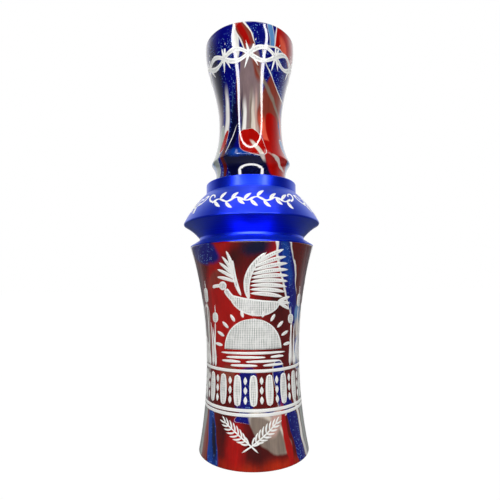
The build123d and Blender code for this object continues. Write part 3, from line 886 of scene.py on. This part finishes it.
def twistedRing():
    # two strands, each a sine of the angle, that cross every half lobe, with crossed spurs where they meet
    angle = np.linspace(-np.pi, np.pi, 300)
    lines = []
    for sign in (-1, 1):
        wave = sign * twist["swing"] * np.sin(twist["lobes"] * angle) + 0.25 * np.sin(3 * angle + sign)
        level = twist["level"] + wave
        path = np.stack([angle * np.interp(level, *flareOutline), level], axis=1)
        lines.append((path, twist["strandHalf"] * (1 + 0.16 * np.sin(11 * angle)), 0.0))
    for k in range(twist["spurs"]):
        for lean, tall in twist["spurLines"]:
            wobble = 0.45 * np.sin(2.4 * k + lean)
            ends = [(0, twist["level"] - 0.2 * tall), (lean + wobble, twist["level"] + tall)]
            spur = stroke(ends, twist["spurHalf"], "blade", 10, 0.6)
            lines += turned([spur], 360 * k / twist["spurs"])
    return lines


inlay("marsh_scene_front", marshScene(4, (0.6, 45.3), 0.95), barrelOutline, "barrel")
inlay("marsh_scene_back", marshScene(9, (-0.6, 45.3), 0.92), barrelOutline, "barrel", 180.0)
inlay("barrel_border", borderRing(), barrelOutline, "barrel")
for label, arc in (("front", 0.0), ("back", 180.0)):
    inlay("crossed_feathers_" + label, crossedFeathers(), barrelOutline, "barrel", plume["centreArc"] + arc)
for label, arc in (("front", 0.0), ("right", 90.0), ("back", 180.0), ("left", 270.0)):
    inlay("band_garland_" + label, garland(), crownOutline, "barrel", arc)
inlay("stopper_twist", twistedRing(), flareOutline, "stopper")


# reeds: thin flat strips that stand in for the reed parts
reeds = {
    "long_reed": {"thick": 0.36, "corner": 1.6, "dimple": 0.0},
    "short_reed": {"thick": 0.26, "corner": 1.6, "dimple": 0.1},
}
dimpleShape = {"fromTip": 7.0, "radius": 0.8, "steepness": 1.4}


def reedStrip(node, shape):
    # a plate on a grid of (along, across); the tip's corners are rounded, the edges softened,
    # and the dimple is a low bell on the face towards the board
    low, high = (np.array(corner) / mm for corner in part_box(node))
    corner, half, length = shape["corner"], (high[0] - low[0]) / 2, high[2] - low[2]
    along = np.concatenate([np.linspace(0, corner, 12), np.linspace(corner, length, 90)[1:]])[:, None]
    across = np.linspace(-1, 1, 25)[None, :]
    missing = np.maximum(corner - along, 0)
    x = (half - corner + np.sqrt(np.maximum(corner**2 - missing**2, 0.0004))) * across
    z = low[2] + along + 0 * x
    aside, above = x / dimpleShape["radius"], (along - dimpleShape["fromTip"]) / dimpleShape["radius"]
    bell = np.exp(-(aside**2 + above**2) * dimpleShape["steepness"]) * shape["dimple"]
    thick = shape["thick"] / 2
    # a dimple deepens the box on the board's side, so that reed's middle is counted from the other
    middle = low[1] + thick if shape["dimple"] else (low[1] + high[1]) / 2
    soft = thick * (1 - across**16 * 0.35)
    front = np.stack([x, middle - soft + bell, z], axis=-1)
    back = np.stack([x, middle + soft + bell, z], axis=-1)
    rows, columns = x.shape
    places = np.concatenate([front.reshape(-1, 3), back.reshape(-1, 3)]) * mm
    i, j = np.meshgrid(np.arange(rows - 1), np.arange(columns - 1), indexing="ij")
    first = i * columns + j
    quads = np.stack([first, first + 1, first + columns + 1, first + columns], axis=-1).reshape(-1, 4)
    size = rows * columns
    rim = np.concatenate([
        np.arange(columns), np.arange(1, rows) * columns + columns - 1,
        (rows - 1) * columns + np.arange(columns - 2, -1, -1), np.arange(rows - 2, 0, -1) * columns,
    ])
    after = np.roll(rim, -1)
    sides = np.stack([rim, rim + size, after + size, after], axis=-1)
    strip = meshPiece("bending_" + node, places, np.concatenate([quads, size + quads[:, ::-1], sides]))
    strip.data.materials.append(film)
    return strip


for node, shape in reeds.items():
    strip = reedStrip(node, shape)
    low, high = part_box(node)
    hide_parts(node)
    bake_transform(strip)
    print("bending", node)


# stage, light and camera
floorLook = {"half": 6.0, "below": 0.05, "matte": 0.2, "glow": 1.015, "glowShare": 0.99}
ring = {"inner": 0.092, "outer": 0.113, "y": -0.122, "z": 0.180, "strength": 18.0, "sides": 96}


def makeFloor():
    # a pale floor: an even glow to the camera, and matte to the lights
    mesh = bpy.data.meshes.new("floor")
    half = floorLook["half"]
    corners = [(-half, -half, 0), (half, -half, 0), (half, half, 0), (-half, half, 0)]
    mesh.from_pydata(corners, [], [(0, 1, 2, 3)])
    floor = bpy.data.objects.new("floor", mesh)
    floor.location.z = -floorLook["below"] * mm
    bpy.context.scene.collection.objects.link(floor)
    look = bpy.data.materials.new("floorPale")
    tree, surface = emptyTree(look)
    matte = addNode(tree, "BsdfDiffuse", {"Color": (*[floorLook["matte"]] * 3, 1)})
    glow = addNode(tree, "Emission", {"Strength": floorLook["glow"]})
    seen = addNode(tree, "LightPath").outputs["Is Camera Ray"]
    seen = calc(tree, "MULTIPLY", seen, floorLook["glowShare"])
    both = addNode(tree, "MixShader", {0: seen, 1: matte.outputs[0], 2: glow.outputs[0]})
    tree.links.new(both.outputs[0], surface)
    mesh.materials.append(look)
    return floor


def makeRingLight():
    # an annulus, points at (inner or outer radius, angle), facing the object; only reflections show it
    sides = ring["sides"]
    angle = np.tile(np.linspace(0, 2 * np.pi, sides, endpoint=False), 2)
    radius = np.repeat([ring["inner"], ring["outer"]], sides)
    x, z = radius * np.cos(angle), ring["z"] + radius * np.sin(angle)
    places = np.stack([x, np.full(2 * sides, ring["y"]), z], axis=1)
    k = np.arange(sides)
    n = (k + 1) % sides
    piece = meshPiece("ringLight", places, np.stack([k, n, sides + n, sides + k], axis=-1), False)
    glow = bpy.data.materials.new("ringGlow")
    tree, surface = emptyTree(glow)
    lamp = addNode(tree, "Emission", {"Strength": ring["strength"], "Color": (1.0, 0.985, 0.96, 1)})
    tree.links.new(lamp.outputs[0], surface)
    piece.data.materials.append(glow)
    piece.visible_camera = False
    piece.visible_shadow = False
    piece.visible_diffuse = False
    return piece


makeFloor()
makeRingLight()

# each soft box: place, turn in degrees, size, watts, and whether reflections show it
softBoxes = {
    "frontBox": ((0.0, -0.32, 0.14), (76, 0, 0), (0.5, 0.4), 1.45, False),
    "leftBox": ((-0.34, 0.20, 0.16), (78, 0, -120), (0.3, 0.4), 0.6, False),
    "rightBox": ((0.34, 0.20, 0.16), (78, 0, 120), (0.3, 0.4), 0.6, False),
    "overhead": ((0.0, -0.075, 0.50), (6, 0, 0), (0.5, 0.13), 0.5, True),
}
for name, (place, turn, size, power, mirrored) in softBoxes.items():
    lamp = bpy.data.lights.new(name, "AREA")
    lamp.shape = "RECTANGLE"
    lamp.size, lamp.size_y = size
    lamp.energy = power
    made = bpy.data.objects.new(name, lamp)
    made.location = place
    made.rotation_euler = Euler(np.radians(turn))
    made.visible_camera = False
    made.visible_glossy = mirrored
    bpy.context.scene.collection.objects.link(made)

# a room that is dark towards the camera and bright behind the object, and white where the camera sees it
room = {"dark": 0.03, "bright": 0.95, "from": -0.25, "to": 0.95}
world = bpy.data.worlds.new("studio")
bpy.context.scene.world = world
tree, surface = emptyTree(world, "OutputWorld")
direction = addNode(tree, "SeparateXYZ", {0: addNode(tree, "TexCoord").outputs["Generated"]}).outputs[1]
wall = ramp(tree, direction, room["from"], room["to"], room["dark"], room["bright"])
seen = addNode(tree, "LightPath").outputs["Is Camera Ray"]
strength = calc(tree, "MAXIMUM", wall, seen)
backdrop = addNode(tree, "Background", {"Color": (1, 1, 1, 1), "Strength": strength})
tree.links.new(backdrop.outputs[0], surface)
bpy.context.scene.view_settings.view_transform = "Standard"

view = {"place": (-0.00055, -0.11843, 0.04685), "pitch": 5.77, "roll": -0.6, "lens": 27.37, "sensor": 36,
        "clipStart": 0.002}
lens = bpy.data.cameras.new("camera")
lens.lens = view["lens"]
lens.sensor_width = view["sensor"]
lens.clip_start = view["clipStart"]
camera = bpy.data.objects.new("camera", lens)
camera.location = view["place"]
tilt = Euler(np.radians((90 + view["pitch"], 0, 0))).to_matrix()
roll = Euler(np.radians((0, 0, view["roll"]))).to_matrix()
camera.rotation_euler = (tilt @ roll).to_euler()
bpy.context.scene.collection.objects.link(camera)
bpy.context.scene.camera = camera
print("stage set")
